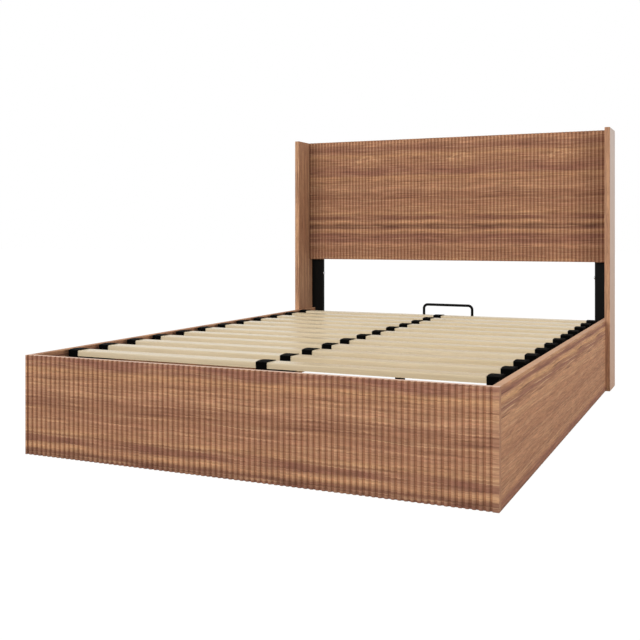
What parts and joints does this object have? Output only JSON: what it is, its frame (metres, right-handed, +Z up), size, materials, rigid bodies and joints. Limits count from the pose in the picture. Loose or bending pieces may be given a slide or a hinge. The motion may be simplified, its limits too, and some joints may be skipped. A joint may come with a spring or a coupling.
{
  "type": "ottoman bed",
  "caption": "Storage bed with a reeded wood-look footboard, a winged reeded headboard and a slatted steel frame that lifts on gas-strut arms.",
  "frame": {"origin": "on the floor under the middle of the bed's box", "axes": "+X to the right seen from the foot, +Y towards the head, +Z up"},
  "size_m": [1.456, 2.03, 1.1],
  "materials": {
    "walnut_laminate": "satin walnut-look laminate",
    "pale_board": "white-faced thin board",
    "softwood": "planed softwood",
    "beech_slat": "pale planed timber",
    "black_plastic": "moulded black plastic",
    "black_rubber": "matt black rubber",
    "chromed_rod": "polished hard chrome",
    "zinc_steel": "bright zinc plate",
    "black_steel": "black powder coat"
  },
  "bodies": {
    "base": {"base_pivot_pins": "zinc_steel", "bottom_bearers": "softwood", "centre_leg": "black_steel", "corner_bolts": "zinc_steel", "corner_brackets": "zinc_steel", "foot_ledge": "softwood", "footboard": "walnut_laminate", "front_bottom_board": "pale_board", "head_end_panel": "walnut_laminate", "headboard_panel": "walnut_laminate", "headboard_rail": "black_steel", "left_headboard_post": "black_steel", "left_headboard_wing": "walnut_laminate", "left_lift_plate": "black_steel", "left_side_panel": "walnut_laminate", "lift_plate_bolts": "zinc_steel", "middle_bottom_board": "pale_board", "post_bolts": "zinc_steel", "rear_bottom_board": "pale_board", "rest_pads": "black_rubber", "right_headboard_post": "black_steel", "right_headboard_wing": "walnut_laminate", "right_lift_plate": "black_steel", "right_side_panel": "walnut_laminate"},
    "rear_arms": {"left_rear_arm": "black_steel", "right_rear_arm": "black_steel"},
    "lift_frame": {"frame_centre_beam": "black_steel", "frame_front_tube": "black_steel", "frame_pivot_pins": "zinc_steel", "frame_rear_tube": "black_steel", "left_frame_hanger": "black_steel", "left_frame_side_tube": "black_steel", "left_slat_caps": "black_plastic", "mattress_stop_bar": "black_steel", "middle_slat_caps": "black_plastic", "right_frame_hanger": "black_steel", "right_frame_side_tube": "black_steel", "right_slat_caps": "black_plastic", "slat_row_01": "beech_slat", "slat_row_02": "beech_slat", "slat_row_03": "beech_slat", "slat_row_04": "beech_slat", "slat_row_05": "beech_slat", "slat_row_06": "beech_slat", "slat_row_07": "beech_slat", "slat_row_08": "beech_slat", "slat_row_09": "beech_slat", "slat_row_10": "beech_slat", "slat_row_11": "beech_slat", "slat_row_12": "beech_slat", "tube_end_plugs": "black_plastic"},
    "front_arms": {"left_front_arm": "black_steel", "right_front_arm": "black_steel", "front_arm_studs": "zinc_steel"},
    "gas_cylinders": {"left_gas_cylinder": "black_steel", "right_gas_cylinder": "black_steel", "strut_lower_eyes": "zinc_steel"},
    "gas_rods": {"left_gas_rod": "chromed_rod", "right_gas_rod": "chromed_rod", "strut_upper_eyes": "zinc_steel"}
  },
  "joints": [
    {"name": "lift", "type": "hinge", "parent": "base", "child": "rear_arms", "pos_m": [0, 0.54, 0.094], "axis": [1, 0, 0], "range_deg": [0, 45]},
    {"name": "frame_tilt", "type": "hinge", "parent": "rear_arms", "child": "lift_frame", "pos_m": [0, 0.755, 0.218], "axis": [-1, 0, 0], "range_deg": [0, 75]},
    {"name": "front_arm_swing", "type": "hinge", "parent": "base", "child": "front_arms", "pos_m": [0, 0.433, 0.1045], "axis": [1, 0, 0], "range_deg": [0, 40]},
    {"name": "strut_swing", "type": "hinge", "parent": "base", "child": "gas_cylinders", "pos_m": [0, 0.83509, 0.072], "axis": [-1, 0, 0], "range_deg": [0, 5.53]},
    {"name": "rod_stroke", "type": "slide", "parent": "gas_cylinders", "child": "gas_rods", "axis": [0, -0.973, 0.2308], "range_m": [0, 0.0596]}
  ],
  "couplings": [
    {"joint": "frame_tilt", "follows": "lift", "ratio": 1.6667},
    {"joint": "front_arm_swing", "follows": "lift", "ratio": 0.88889},
    {"joint": "strut_swing", "follows": "lift", "ratio": 0.12287},
    {"joint": "rod_stroke", "follows": "lift", "m_per_rad": 0.075876}
  ]
}
